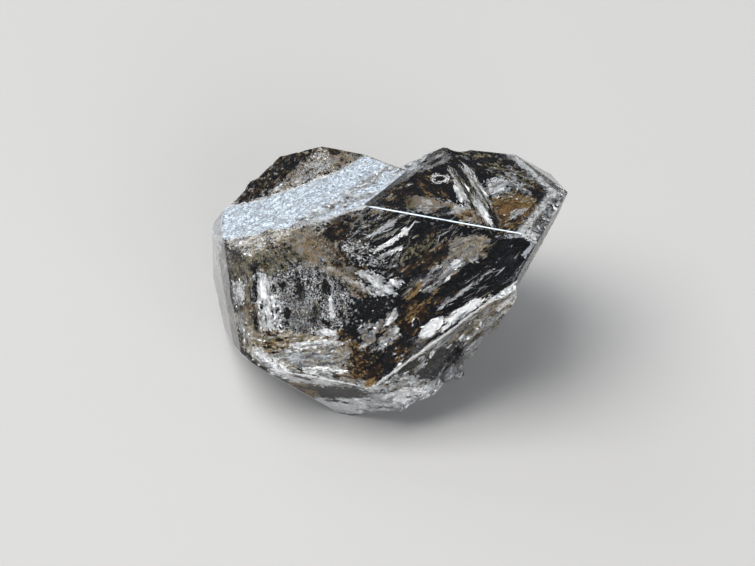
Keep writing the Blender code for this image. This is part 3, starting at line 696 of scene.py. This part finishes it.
class Nodes:
    """The node tree of a new material, with short ways to add to it."""

    def __init__(self, name):
        self.material = bpy.data.materials.new(name)
        self.material.use_nodes = True
        self.tree = self.material.node_tree
        self.surface = self.tree.nodes["Principled BSDF"]

    def add(self, kind, settings=(), **inputs):
        """A node with its settings, and its inputs as values or as the sockets that feed them."""
        node = self.tree.nodes.new("ShaderNode" + kind)
        for name, value in dict(settings).items():
            setattr(node, name, value)
        for name, value in inputs.items():
            self.feed(node.inputs[name.replace("_", " ")], value)
        return node

    def feed(self, socket, value):
        """Links a socket, or gives an input its value."""
        if isinstance(value, bpy.types.NodeSocket):
            self.tree.links.new(value, socket)
        else:
            socket.default_value = value

    def plain(self, **inputs):
        """Sets plain values on the shader itself."""
        for name, value in inputs.items():
            self.surface.inputs[name.replace("_", " ")].default_value = value

    def place(self):
        """The place on the stone, in metres."""
        return self.add("TexCoord").outputs["Object"]

    def noise(self, size, detail=2.0, roughness=0.5, vector=None):
        """Cloudy noise whose blotches have a size in metres, from 0 to 1."""
        texture = self.add("TexNoise", Scale=1 / size, Detail=detail, Roughness=roughness)
        self.feed(texture.inputs["Vector"], vector or self.place())
        return texture.outputs["Fac"]

    def attribute(self, name):
        """A value that the mesh holds for each of its points."""
        return self.add("Attribute", {"attribute_name": name}).outputs["Fac"]

    def calculate(self, operation, first, second, clamp=False):
        """The result of a sum on two values or sockets."""
        node = self.add("Math", {"operation": operation, "use_clamp": clamp})
        self.feed(node.inputs[0], first)
        self.feed(node.inputs[1], second)
        return node.outputs[0]

    def span(self, value, low, high, start=0.0, end=1.0):
        """Maps a value from low..high to start..end, held at both ends."""
        node = self.add("MapRange", From_Min=low, From_Max=high, To_Min=start, To_Max=end)
        self.feed(node.inputs["Value"], value)
        return node.outputs["Result"]

    def mix(self, share, first, second):
        """A blend of two colours."""
        node = self.add("Mix", {"data_type": "RGBA"})
        for index, value in ((0, share), (6, first), (7, second)):
            if isinstance(value, tuple):
                value = (*value, 1)
            self.feed(node.inputs[index], value)
        return node.outputs[2]

    def ramp(self, value, stops):
        """Colours at places along a value."""
        node = self.add("ValToRGB", Fac=value)
        bands = node.color_ramp.elements
        while len(bands) < len(stops):
            bands.new(1.0)
        for band, (place, color) in zip(bands, stops):
            band.position = place
            band.color = (*color, 1)
        return node.outputs["Color"]

    def bump(self, height, distance, strength):
        """Fine relief on the shader, its height in metres."""
        node = self.add("Bump", Height=height, Distance=distance)
        self.feed(node.inputs["Strength"], strength)
        self.tree.links.new(node.outputs["Normal"], self.surface.inputs["Normal"])

    def absorb(self, color, density):
        """Fills the material with a plain absorption."""
        inside = self.add("VolumeAbsorption", Color=(*color, 1), Density=density)
        self.tree.links.new(inside.outputs["Volume"], self.tree.nodes["Material Output"].inputs["Volume"])


def quartz_material(settings):
    """Clear quartz that turns to rough, pale frost where the skin says so, with painted shade darkening the
    frost in its pits.
    """
    nodes = Nodes("quartz")
    grain = nodes.noise(0.1 * MM, 3.0, 0.65)
    blotch = nodes.noise(0.6 * MM, 2.0)
    frost = nodes.attribute("frost")
    patchy = nodes.calculate("ADD", frost, nodes.span(grain, 0.3, 0.7, -0.22, 0.22))
    patchy = nodes.calculate("ADD", patchy, nodes.span(blotch, 0.3, 0.7, -0.1, 0.1))
    amount = nodes.span(patchy, 0.34, 0.8)
    cold = tuple(settings.frost_color)
    warm = tuple(settings.warm_color)
    tint = nodes.mix(nodes.attribute("warmth"), cold, warm)
    # Painted shade: the frost's colour is darkened towards FROST_SHADOW in the grain's low spots, in lumps,
    # and where pits have thinned the frost
    depth = nodes.span(frost, 0.3, 0.9, 0.4, 1.0)
    shade = nodes.calculate("MULTIPLY", nodes.span(grain, 0.39, 0.54, 0.1, 1.0), depth)
    lumps = nodes.span(nodes.noise(0.3 * MM, 2.0), 0.38, 0.56, 0.62, 1.0)
    shade = nodes.calculate("MULTIPLY", shade, lumps)
    shade = nodes.calculate("MAXIMUM", shade, nodes.span(frost, 1.0, 1.2))
    tint = nodes.mix(shade, FROST_SHADOW, tint)
    nodes.feed(nodes.surface.inputs["Base Color"], nodes.mix(amount, (1, 1, 1), tint))
    nodes.feed(nodes.surface.inputs["Metallic"], nodes.calculate("MULTIPLY", amount, 0.85))
    nodes.feed(nodes.surface.inputs["Roughness"], nodes.span(amount, 0.0, 1.0, 0.01, 0.85))
    nodes.bump(grain, 0.035 * MM, nodes.span(frost, 0.1, 0.6, 0.0, 0.9))
    nodes.plain(IOR=QUARTZ_IOR, Transmission_Weight=1.0)
    nodes.absorb(settings.clear_color, settings.smokiness)
    return nodes.material


def flake_material():
    """Flakes of every tone, from black petroleum through gold and grey to white."""
    nodes = Nodes("veil_flakes")
    tone = nodes.attribute("tone")
    waver = nodes.span(nodes.noise(0.15 * MM, 2.0), 0.3, 0.7, -0.06, 0.06)
    color = nodes.ramp(nodes.calculate("ADD", tone, waver, True), TONES.values())
    nodes.feed(nodes.surface.inputs["Base Color"], color)
    nodes.feed(nodes.surface.inputs["Metallic"], nodes.span(tone, 0.5, 1.0, 0.0, 0.5))
    nodes.feed(nodes.surface.inputs["Roughness"], nodes.span(tone, 0.0, 1.0, 0.5, 0.35))
    nodes.plain(IOR=1.08)
    return nodes.material


def milk_material():
    """A thin milky haze that what is under it still shows through."""
    nodes = Nodes("milky_haze")
    tone = nodes.attribute("tone")
    waver = nodes.span(nodes.noise(0.5 * MM, 3.0), 0.3, 0.7, -0.1, 0.1)
    color = nodes.ramp(nodes.calculate("ADD", tone, waver, True), TONES.values())
    nodes.feed(nodes.surface.inputs["Base Color"], color)
    nodes.plain(Alpha=0.16, Roughness=0.7)
    return nodes.material


def petroleum_material():
    """Brown petroleum that light still passes through where it is thin."""
    nodes = Nodes("petroleum")
    cloud = nodes.noise(0.4 * MM, 3.0)
    waver = nodes.span(cloud, 0.3, 0.7, -0.1, 0.1)
    tone = nodes.calculate("ADD", nodes.attribute("tone"), waver, True)
    stops = ((0.1, (0.012, 0.007, 0.004)), (0.2, (0.1, 0.045, 0.012)), (0.34, (0.5, 0.3, 0.1)))
    color = nodes.ramp(tone, stops)
    nodes.feed(nodes.surface.inputs["Base Color"], color)
    nodes.feed(nodes.surface.inputs["Roughness"], nodes.span(cloud, 0.3, 0.7, 0.05, 0.2))
    nodes.plain(IOR=0.939, Transmission_Weight=0.6)
    nodes.absorb((0.85, 0.6, 0.25), 2000.0)
    return nodes.material


def gas_material():
    """Gas in a hollow: a bright mirror at a slant, and clear from straight above."""
    nodes = Nodes("gas_hollow")
    nodes.feed(nodes.surface.inputs["Roughness"], nodes.span(nodes.noise(0.3 * MM), 0.4, 0.8, 0.0, 0.12))
    nodes.plain(Base_Color=(1, 1, 1, 1), IOR=1 / QUARTZ_IOR, Transmission_Weight=1.0)
    return nodes.material


class Inclusions:
    """Small closed bodies with their own tones, gathered into one mesh."""

    def __init__(self):
        self.points = []
        self.faces = []
        self.tones = []

    def add_flake(self, place, ways, sizes, tone, dice):
        """A thin shard with two corners raised and two sunk, left out where the stone has no room."""
        along, aside, out = ways
        first = len(self.points)
        shard = []
        for corner in range(4):
            turn = math.pi / 2 * (corner + dice.uniform(-0.35, 0.35))
            reach = dice.uniform(0.6, 1.3)
            step = along * (math.cos(turn) * sizes[0]) + aside * (math.sin(turn) * sizes[1])
            lift = out * (sizes[2] if corner % 2 else -sizes[2])
            shard.append(place + step * reach + lift)
        if not all(IS_INSIDE(point, FLAKE_ROOM) for point in shard):
            return
        self.points.extend(shard)
        for corners in ((0, 1, 2), (0, 3, 1), (0, 2, 3), (1, 3, 2)):
            self.faces.append(tuple(first + corner for corner in corners))
        self.tones.extend([tone] * 4)

    def add_rings(self, rings, tone):
        """A closed body through rings of points, from its peak to its foot."""
        first = len(self.points)
        count = len(rings[0])
        for ring in rings:
            self.points.extend(ring)
        self.points.append(sum(rings[0], Vector()) / count)
        self.points.append(sum(rings[-1], Vector()) / count)
        peak = len(self.points) - 2
        foot = len(self.points) - 1
        for corner in range(count):
            after = (corner + 1) % count
            self.faces.append((peak, first + corner, first + after))
            last = first + (len(rings) - 1) * count
            self.faces.append((foot, last + after, last + corner))
            for level in range(len(rings) - 1):
                above = first + level * count
                below = above + count
                self.faces.append((above + corner, below + corner, below + after, above + after))
        self.tones.extend([tone] * (len(rings) * count + 2))

    def build(self, name, material, smooth=False):
        """One mesh object of everything gathered, that rides on the stone's body."""
        mesh = bpy.data.meshes.new(name)
        mesh.from_pydata(self.points, [], self.faces)
        shape = bmesh.new()
        shape.from_mesh(mesh)
        bmesh.ops.recalc_face_normals(shape, faces=shape.faces)
        shape.to_mesh(mesh)
        shape.free()
        tones = mesh.attributes.new("tone", "FLOAT", "POINT")
        tones.data.foreach_set("value", self.tones)
        mesh.materials.append(material)
        if smooth:
            mesh.shade_smooth()
        piece = bpy.data.objects.new(name, mesh)
        bpy.context.scene.collection.objects.link(piece)
        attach(piece, BODY)
        return piece


def corners(outline):
    """The corners of an outline that is written as pairs of pixels."""
    return [tuple(int(part) for part in pair.split(",")) for pair in outline.split()]


def tone_place(word):
    """The place of a named tone, from 0 to 1."""
    return TONES[word][0]


def palette(words):
    """The places and weights of the tones that a palette names."""
    pairs = [pair.split() for pair in words.split(",")]
    return [(tone_place(word), float(weight)) for word, weight in pairs]


def is_in_outline(outline, across, down):
    """Whether a pixel is inside an outline of the photograph."""
    found = False
    for index, (x, y) in enumerate(outline):
        before_x, before_y = outline[index - 1]
        if (y > down) != (before_y > down):
            if across < (before_x - x) * (down - y) / (before_y - y) + x:
                found = not found
    return found


def pick_tone(tones, place):
    """The tone at a place from 0 to 1 along a palette of tones and weights."""
    total = sum(weight for _tone, weight in tones)
    left = min(max(place, 0.0), 1.0) * total
    for tone, weight in tones:
        left -= weight
        if left <= 0:
            return tone
    return tones[-1][0]


def ways_under(name, across, down, depth, heading):
    """Along, aside and out at a place under a face, with a heading taken in the photograph."""
    here = seen_under(name, across, down, depth)
    right = seen_under(name, across + 1, down, depth) - here
    below = seen_under(name, across, down + 1, depth) - here
    along = (right * math.cos(heading) + below * math.sin(heading)).normalized()
    out = NORMALS[name]
    return along, out.cross(along), out


def scatter(inclusions, veil, settings, dice):
    """Fills one veil with flakes in clumps of like tone."""
    heading = math.radians(veil.heading)
    outline = corners(veil.outline)
    tones = palette(veil.tones)
    low_x = min(x for x, _y in outline)
    high_x = max(x for x, _y in outline)
    low_y = min(y for _x, y in outline)
    high_y = max(y for _x, y in outline)
    depth = sum(veil.depths) / 2
    along, aside, out = ways_under(veil.face, (low_x + high_x) / 2, (low_y + high_y) / 2, depth, heading)
    made = 0
    drift = dice.uniform(0, 100)
    while made < veil.count:
        across = dice.uniform(low_x - 2, high_x + 2)
        down = dice.uniform(low_y - 2, high_y + 2)
        if not is_in_outline(outline, across + dice.gauss(0, veil.soft), down + dice.gauss(0, veil.soft)):
            continue
        made += 1
        place = seen_under(veil.face, across, down, dice.uniform(*veil.depths))
        forth = across * math.cos(heading) + down * math.sin(heading)
        sideways = down * math.cos(heading) - across * math.sin(heading)
        spot = Vector((forth / CLUMP_LENGTH / veil.stretch, sideways / CLUMP_WIDTH, drift))
        cloud = noise.fractal(spot, 0.75, 2.0, 3)
        tone = pick_tone(tones, 0.5 + 0.95 * cloud + dice.gauss(0, 0.1))
        width = dice.uniform(*veil.sizes) * MM / 2
        length = width * veil.stretch * dice.uniform(0.7, 1.2)
        turn = Matrix.Rotation(dice.gauss(0, 0.25 if veil.stretch > 3 else 0.5), 3, out)
        lean = Matrix.Rotation(dice.gauss(0, settings.tilt), 3, along)
        nod = Matrix.Rotation(dice.gauss(0, settings.tilt / veil.stretch), 3, aside)
        whole = turn @ lean @ nod
        ways = (whole @ along, whole @ aside, whole @ out)
        inclusions.add_flake(place, ways, (length, width, width * settings.thinness), tone, dice)


def add_rim(inclusions, face, middle, reach, depth, dice):
    """A ring of white flakes that paints the light which a bubble's rim mirrors: a painted reflection."""
    for _flake in range(RIM_FLAKES):
        turn = dice.uniform(0, 2 * math.pi)
        away = dice.gauss(1, 0.1)
        if noise.noise(Vector((1.5 * math.cos(turn), 1.5 * math.sin(turn), reach[0]))) < -0.35:
            continue
        across = middle[0] + reach[0] * away * math.cos(turn)
        down = middle[1] + reach[1] * away * math.sin(turn)
        heading = math.atan2(reach[1] * math.cos(turn), -reach[0] * math.sin(turn))
        ways = ways_under(face, across, down, depth, heading)
        place = seen_under(face, across, down, depth)
        inclusions.add_flake(place, ways, RIM_FLAKE, tone_place("white"), dice)


def settled(pool, middle, pixel, height):
    """A pool's point, raised and then drawn towards the pool's middle until it is in the stone."""
    depth = pool.depth
    share = 1.0
    for _step in range(40):
        across = middle[0] + (pixel[0] - middle[0]) * share
        down = middle[1] + (pixel[1] - middle[1]) * share
        place = seen_under(pool.face, across, down, depth - height * min(pool.thick, depth))
        if IS_INSIDE(place, POOL_ROOM):
            break
        if depth > 0.2:
            depth *= 0.85
        else:
            share *= 0.9
    return place


def pool_rings(pool, sides, dice):
    """Rings of a flat lens whose outline shows at a pool's outline."""
    outline = corners(pool.outline)
    count = len(outline)
    middle_x = sum(x for x, _y in outline) / count
    middle_y = sum(y for _x, y in outline) / count
    drift = dice.uniform(0, 100)
    edge = []
    for step in range(sides):
        place = step / sides * count
        index = int(place)
        share = place - index
        x, y = outline[index]
        next_x, next_y = outline[(index + 1) % count]
        x += (next_x - x) * share
        y += (next_y - y) * share
        turn = 2 * math.pi * step / sides
        spot = Vector((3 * math.cos(turn), 3 * math.sin(turn), drift))
        ripple = 1 + 0.16 * noise.fractal(spot, 0.7, 2.0, 3)
        edge.append((middle_x + (x - middle_x) * ripple, middle_y + (y - middle_y) * ripple))
    rings = []
    for share, height in LENS_PROFILE:
        ring = []
        for x, y in edge:
            across = middle_x + (x - middle_x) * share
            down = middle_y + (y - middle_y) * share
            ring.append(settled(pool, (middle_x, middle_y), (across, down), height))
        rings.append(ring)
    return rings


def drop_rings(middle, size, dice):
    """Rings of a lumpy drop."""
    drift = Vector((dice.uniform(0, 100), 0, 0))
    stretch = Vector((dice.uniform(0.8, 1.3), dice.uniform(0.6, 1.0), dice.uniform(0.35, 0.8)))
    angle = dice.uniform(0, math.pi)
    pole = Vector((dice.gauss(0, 1), dice.gauss(0, 1), 1)).normalized()
    turn = Matrix.Rotation(angle, 3, pole)
    rings = []
    for level in range(1, DROP_LEVELS):
        slope = math.pi * level / DROP_LEVELS
        reach = math.sin(slope)
        ring = []
        for step in range(DROP_SIDES):
            heading = 2 * math.pi * step / DROP_SIDES
            way = Vector((reach * math.cos(heading), reach * math.sin(heading), math.cos(slope)))
            swell = 1 + 0.25 * noise.noise(way * 1.5 + drift)
            ring.append(middle + turn @ (way * stretch) * (size * swell))
        rings.append(ring)
    return rings


def channel_rings(channel):
    """Rings of a flat six-sided sliver with pointed ends."""
    start = seen_under(channel.face, *channel.start, channel.depth)
    end = seen_under(channel.face, *channel.end, channel.depth)
    out = NORMALS[channel.face]
    along = end - start
    aside = out.cross(along).normalized() * channel.width * MM / 2
    rings = []
    for share, height in CHANNEL_PROFILE:
        lift = out * (height * channel.thick * MM)
        ring = []
        for reach, side in CHANNEL_CORNERS:
            forth = 0.5 + (reach - 0.5) * (0.9 + 0.1 * share)
            ring.append(start + along * forth + aside * (side * share) + lift)
        rings.append(ring)
    return rings


class QUARTZ_OT_stage(bpy.types.Operator):
    """Makes the floor, the lamps and the camera"""

    bl_idname = "quartz.stage"
    bl_label = "Stage"

    def execute(self, context):
        settings = context.scene.quartz_stage
        make_camera()
        bpy.ops.mesh.primitive_plane_add(size=FLOOR_SIZE, location=(0, 0, 0))
        floor = context.object
        floor.name = "floor"
        nodes = Nodes("pale_floor")
        nodes.plain(Base_Color=(*settings.floor_color, 1), Roughness=0.8)
        floor.data.materials.append(nodes.material)
        for name, (place, size, color) in LAMPS.items():
            add_lamp(name + "_lamp", place, size, getattr(settings, name + "_power"), color)
        world = bpy.data.worlds.new("air")
        world.use_nodes = True
        air = world.node_tree.nodes["Background"].inputs
        air["Color"].default_value = (*AIR_COLOR, 1)
        air["Strength"].default_value = settings.air_strength
        context.scene.world = world
        context.scene.view_settings.view_transform = "Standard"
        context.scene.cycles.max_bounces = LIGHT_BOUNCES
        context.scene.cycles.transmission_bounces = LIGHT_BOUNCES
        return {"FINISHED"}


def wear_edges(shape, width):
    """Cuts narrow strips along both sides of the long edges, and returns the worn faces."""
    bmesh.ops.dissolve_limit(shape, angle_limit=math.radians(0.3), verts=shape.verts, edges=shape.edges)
    worn = []
    for edge in shape.edges:
        sides = {face_name_at(face.calc_center_median(), face.normal) for face in edge.link_faces}
        if any(sides <= pair for pair in PLAIN_BORDERS):
            continue
        if edge.calc_length() > WORN_LENGTH and edge.calc_face_angle(0) > WORN_ANGLE:
            start, end = [vertex.co.copy() for vertex in edge.verts]
            worn.append((start, end, width if sides == BRIGHT_BORDER else SLIGHT_WEAR * width))
    for start, end, reach in worn:
        along = (end - start).normalized()
        for face in list(shape.faces):
            near = [vertex.co for vertex in face.verts if (vertex.co - start).cross(along).length < 1e-8]
            if len(near) < 2 or face.calc_area() < MM * MM:
                continue
            inward = face.normal.cross(along)
            if inward.dot(face.calc_center_median() - start) < 0:
                inward = -inward
            geometry = [face, *face.edges, *face.verts]
            cut = start + inward * reach
            bmesh.ops.bisect_plane(shape, geom=geometry, dist=1e-9, plane_co=cut, plane_no=inward)
    strips = []
    for face in shape.faces:
        for start, end, reach in worn:
            along = (end - start).normalized()
            length = (end - start).length
            steps = [vertex.co - start for vertex in face.verts]
            near = all(step.cross(along).length < 1.02 * reach for step in steps)
            if near and all(-4 * reach < step.dot(along) < length + 4 * reach for step in steps):
                strips.append(face)
                break
    return strips


def refine(shape, longest):
    """Splits the edges that are longer than the grain, a few times over."""
    bmesh.ops.triangulate(shape, faces=shape.faces)
    for _pass in range(REFINE_PASSES):
        long_edges = [edge for edge in shape.edges if edge.calc_length() > longest]
        bmesh.ops.subdivide_edges(shape, edges=long_edges, cuts=1)
        bmesh.ops.triangulate(shape, faces=[face for face in shape.faces if len(face.verts) > 3])


def face_name_at(point, normal):
    """The crystal face that a place on the skin belongs to."""
    best = "top"
    least = 1e9
    for name in FACES:
        fit = NORMALS[name].dot(normal)
        if fit < 0.5:
            continue
        score = abs(depth_under(name, point)) / MM + (1 - fit) * 0.8
        if score < least:
            least = score
            best = name
    return best


def creep_at(name, point):
    """Frost that creeps onto a face from its border."""
    most = 0.0
    for face, neighbour, reach, strength in CREEPS:
        if face == name:
            slant = math.sqrt(1 - NORMALS[face].dot(NORMALS[neighbour]) ** 2)
            away = depth_under(neighbour, point) / slant / MM
            ragged = reach * (1 + 0.5 * noise.noise(point / (0.5 * MM)))
            most = max(most, strength * min(1.0, max(0.0, 1.6 - 1.6 * away / ragged)))
    return most


def pit_at(point):
    """How deep the frost's pits are at a point, from 0 to about 1."""
    near = noise.voronoi(point / (0.26 * MM))[0][0]
    return max(0.0, 1 - near / 0.55) + 0.5 * abs(noise.noise(point / (0.16 * MM)))


class QUARTZ_OT_skin(bpy.types.Operator):
    """Makes the stone's skin: flat clear faces, worn edges and pitted frost"""

    bl_idname = "quartz.skin"
    bl_label = "Skin"

    def execute(self, context):
        settings = context.scene.quartz_crystal
        shape = stone_shape()
        strips = wear_edges(shape, settings.edge_wear)
        names = (*FACES, "worn")
        for face in shape.faces:
            face.material_index = names.index(face_name_at(face.calc_center_median(), face.normal))
        for face in strips:
            face.material_index = names.index("worn")
        refine(shape, settings.grain)
        shape.normal_update()
        shape.verts.ensure_lookup_table()
        frost = []
        warmth = []
        moves = []
        for vertex in shape.verts:
            near = [names[face.material_index] for face in vertex.link_faces]
            whole = [name for name in near if name != "worn"] or ["worn"]
            around = [FACES.get(name, WORN) for name in whole]
            amount = sum(face.frost for face in around) / len(around)
            warmth.append(sum(face.warmth for face in around) / len(around))
            pits = 0.0 if "worn" in near else min(face.pits for face in around)
            sunk = pit_at(vertex.co)
            # Frost is thinned in the pits, where the material paints it darker as painted shade
            amount -= 5 * pits * sunk
            for name in set(whole):
                amount = max(amount, creep_at(name, vertex.co))
            frost.append(amount)
            moves.append(-vertex.normal * (pits * MM * sunk))
        for vertex, move in zip(shape.verts, moves):
            if vertex.co.z > BASE_MARGIN:
                vertex.co += move
        for face in shape.faces:
            face.material_index = 0
        mesh = bpy.data.meshes.new("crystal_skin")
        shape.to_mesh(mesh)
        shape.free()
        for name, values in (("frost", frost), ("warmth", warmth)):
            layer = mesh.attributes.new(name, "FLOAT", "POINT")
            layer.data.foreach_set("value", values)
        mesh.materials.append(quartz_material(settings))
        skin = bpy.data.objects.new("crystal_skin", mesh)
        context.scene.collection.objects.link(skin)
        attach(skin, BODY)
        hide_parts(NODE)
        return {"FINISHED"}


class QUARTZ_OT_veils(bpy.types.Operator):
    """Fills the cloudy veils with flakes, in one mesh for each group of veils"""

    bl_idname = "quartz.veils"
    bl_label = "Veils"

    def execute(self, context):
        settings = context.scene.quartz_veils
        dice = random.Random(settings.seed)
        material = flake_material()
        for name, veils in VEILS.items():
            inclusions = Inclusions()
            for veil in veils:
                scatter(inclusions, veil, settings, dice)
            if name == "veil_streaks":
                for face, middle, reach, depth in RINGS:
                    add_rim(inclusions, face, middle, reach, depth, dice)
            inclusions.build(name, material)
        return {"FINISHED"}


def fractures(dice):
    """Each healed fracture's middle, way across, reach in millimetres and number of flakes."""
    for _fracture in range(FRACTURES):
        middle = HEART + Vector((dice.uniform(-6, 6), dice.uniform(-3, 4), dice.uniform(-3, 3))) * MM
        way = Vector((dice.gauss(0, 1), dice.gauss(0, 1), dice.gauss(0, 1))).normalized()
        yield middle, way, dice.uniform(1.5, 3.2), FRACTURE_FLAKES
    for name in FAR_FACES:
        middle = HEART + NORMALS[name] * (FACES[name].distance - dice.uniform(0.2, 0.6)) * MM
        yield middle, NORMALS[name], FAR_REACH, FAR_FLAKES


class QUARTZ_OT_fractures(bpy.types.Operator):
    """Fills healed fractures through the stone and under its far faces with flakes and drops of petroleum"""

    bl_idname = "quartz.fractures"
    bl_label = "Fractures"

    def execute(self, context):
        settings = context.scene.quartz_veils
        dice = random.Random(settings.seed + 1)
        healed = palette(HEALED)
        flakes = Inclusions()
        for middle, way, radius, count in fractures(dice):
            aside = way.orthogonal().normalized()
            along = way.cross(aside)
            drift = dice.uniform(0, 100)
            first = dice.uniform(0, 0.7)
            for _flake in range(count):
                turn = dice.uniform(0, 2 * math.pi)
                away = radius * math.sqrt(dice.random()) * MM
                side = aside * (away * math.cos(turn)) + along * (away * math.sin(turn))
                cloud = noise.fractal(side / (0.8 * MM) + Vector((drift, 0, 0)), 0.7, 2.0, 3)
                place = middle + side + way * ((0.25 * cloud + dice.gauss(0, 0.03)) * MM)
                if cloud < -0.25:
                    continue
                if depth_under("front", place) < 1.7 * MM or depth_under("top", place) < 1.2 * MM:
                    continue
                tone = pick_tone(healed, first + 0.5 * cloud + dice.gauss(0, 0.12))
                width = dice.uniform(0.03, 0.08) * MM
                lean = Matrix.Rotation(dice.gauss(0, settings.tilt), 3, along)
                ways = (along, lean @ aside, lean @ way)
                flakes.add_flake(place, ways, (1.5 * width, width, width * settings.thinness), tone, dice)
        flakes.build("veil_fractures", flake_material())
        drops = Inclusions()
        made = 0
        while made < DROPS:
            middle = HEART + Vector((dice.uniform(-8, 8), dice.uniform(-6, 6), dice.uniform(-3.8, 5))) * MM
            size = dice.uniform(0.12, 0.45) * MM
            if IS_INSIDE(middle, 1.4 * size + 0.05 * MM) and depth_under("front", middle) > 1.5 * MM:
                drops.add_rings(drop_rings(middle, size, dice), tone_place(dice.choice(DROP_TONES)))
                made += 1
        drops.build("petroleum_drops", petroleum_material(), smooth=True)
        return {"FINISHED"}


class QUARTZ_OT_layers(bpy.types.Operator):
    """Makes the deep dark layers of painted shade behind the clear places, and the milky haze"""

    bl_idname = "quartz.layers"
    bl_label = "Layers"

    def execute(self, context):
        dice = random.Random(LAYER_SEED)
        # Painted shade: dark layers behind the clear places
        shade_backing = Inclusions()
        for pool in PAINTED_SHADE_POOLS:
            shade_backing.add_rings(pool_rings(pool, LAYER_SIDES, dice), tone_place(pool.tone))
        shade_backing.build("smoky_layers", flake_material(), smooth=True)
        milk = Inclusions()
        for pool in MILK:
            milk.add_rings(pool_rings(pool, POOL_SIDES, dice), tone_place(pool.tone))
        milk.build("milky_haze", milk_material())
        return {"FINISHED"}


class QUARTZ_OT_petroleum(bpy.types.Operator):
    """Makes the pools of brown petroleum"""

    bl_idname = "quartz.petroleum"
    bl_label = "Petroleum"

    def execute(self, context):
        dice = random.Random(POOL_SEED)
        inclusions = Inclusions()
        for pool in PETROLEUM:
            inclusions.add_rings(pool_rings(pool, POOL_SIDES, dice), tone_place(pool.tone))
        inclusions.build("petroleum_pools", petroleum_material(), smooth=True)
        return {"FINISHED"}


class QUARTZ_OT_channels(bpy.types.Operator):
    """Makes the slim flat channels"""

    bl_idname = "quartz.channels"
    bl_label = "Channels"

    def execute(self, context):
        inclusions = Inclusions()
        for channel in CHANNELS:
            inclusions.add_rings(channel_rings(channel), tone_place("black"))
        inclusions.build("gas_channels", gas_material())
        return {"FINISHED"}


class QUARTZ_PT_panel(bpy.types.Panel):
    """Lists the steps that build the stone, and their settings"""

    bl_idname = "QUARTZ_PT_panel"
    bl_label = "Petroleum Quartz"
    bl_space_type = "VIEW_3D"
    bl_region_type = "UI"
    bl_category = "Quartz"

    def draw(self, context):
        for operator in OPERATORS:
            self.layout.operator(operator.bl_idname)
        for name, settings in SETTINGS.items():
            for part in settings.__annotations__:
                self.layout.prop(getattr(context.scene, name), part)


OPERATORS = (
    QUARTZ_OT_stage,
    QUARTZ_OT_skin,
    QUARTZ_OT_veils,
    QUARTZ_OT_fractures,
    QUARTZ_OT_layers,
    QUARTZ_OT_petroleum,
    QUARTZ_OT_channels,
)
SETTINGS = {"quartz_stage": StageSettings, "quartz_crystal": CrystalSettings, "quartz_veils": VeilSettings}


def register():
    """Adds the settings, the operators and the panel to Blender."""
    for name, settings in SETTINGS.items():
        bpy.utils.register_class(settings)
        setattr(bpy.types.Scene, name, PointerProperty(type=settings))
    for operator in OPERATORS:
        bpy.utils.register_class(operator)
    bpy.utils.register_class(QUARTZ_PT_panel)


def unregister():
    """Takes them out again."""
    bpy.utils.unregister_class(QUARTZ_PT_panel)
    for operator in reversed(OPERATORS):
        bpy.utils.unregister_class(operator)
    for name, settings in SETTINGS.items():
        delattr(bpy.types.Scene, name)
        bpy.utils.unregister_class(settings)


def main():
    """Builds the stage and every piece."""
    register()
    bpy.ops.quartz.stage()
    bpy.ops.quartz.skin()
    bpy.ops.quartz.veils()
    bpy.ops.quartz.fractures()
    bpy.ops.quartz.layers()
    bpy.ops.quartz.petroleum()
    bpy.ops.quartz.channels()


if __name__ == "__main__":
    main()
